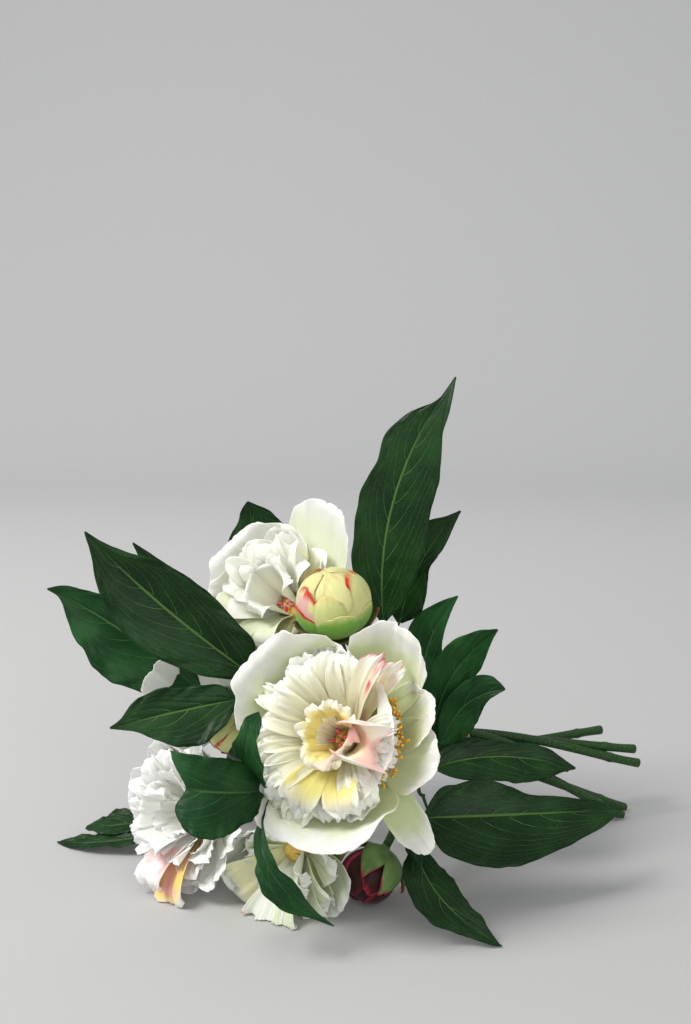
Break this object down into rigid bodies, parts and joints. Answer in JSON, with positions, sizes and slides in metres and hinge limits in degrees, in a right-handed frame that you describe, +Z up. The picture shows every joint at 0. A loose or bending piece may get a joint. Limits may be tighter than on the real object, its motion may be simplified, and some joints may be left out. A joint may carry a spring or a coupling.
{
  "type": "bunch of peonies",
  "caption": "Tied bunch of cut peonies lying on its side: double white and cream blooms, closed buds, lobed leaves and bare green stems, for dressing a table, shelf or floor.",
  "frame": {"origin": "centre of the bunch's footprint on the surface that it lies on", "axes": "+Z up, +X along the bunch towards its cut stem ends, the open faces of the blooms look towards -Y"},
  "size_m": [0.3645, 0.2483, 0.2862],
  "materials": {
    "petal_cream": "soft matt petals, creamy with yellow and pink tints",
    "petal_white": "soft matt white petals",
    "petal_green_white": "soft matt greenish white petals",
    "bud_green": "satin yellow-green wrapped petals with red rims",
    "bud_maroon": "dark maroon wrapped petals, one rim bright red",
    "stamen": "powdery orange anthers",
    "carpel": "pink-red stigmas",
    "sepal": "matt green with reddish edges",
    "leaf": "dark green semi-gloss with pale ribs",
    "stem": "smooth matt green",
    "tie": "rough twisted plant fibre"
  },
  "bodies": {
    "root": {"stem_front": "stem", "stem_bud_top": "stem", "stem_back": "stem", "stem_rear": "stem", "stem_left": "stem", "stem_low": "stem", "stem_bud_low": "stem", "stem_bud_left": "stem", "tie": "tie", "bloom_front_petals": "petal_cream", "bloom_front_calyx": "sepal", "bloom_front_stamens": "stamen", "bloom_front_carpels": "carpel", "bloom_back_petals": "petal_cream", "bloom_back_calyx": "sepal", "bloom_back_stamens": "stamen", "bloom_back_carpels": "carpel", "bloom_left_petals": "petal_white", "bloom_left_calyx": "sepal", "bloom_left_stamens": "stamen", "bloom_left_carpels": "carpel", "bloom_low_petals": "petal_green_white", "bloom_low_calyx": "sepal", "bloom_rear_petals": "petal_white", "bloom_rear_calyx": "sepal", "bud_top_petals": "bud_green", "bud_top_sepals": "sepal", "bud_low_petals": "bud_maroon", "bud_low_sepals": "sepal", "bud_left_petals": "bud_green", "bud_left_sepals": "sepal", "leaf_tall": "leaf", "leaf_long": "leaf", "leaf_far_left": "leaf", "leaf_behind": "leaf", "leaf_left": "leaf", "leaf_right": "leaf", "leaf_over_stems": "leaf", "leaf_wide": "leaf", "leaf_floor": "leaf", "leaf_front": "leaf", "leaf_floor_left": "leaf", "leaf_back_low": "leaf", "leaf_back_up": "leaf"}
  },
  "joints": []
}
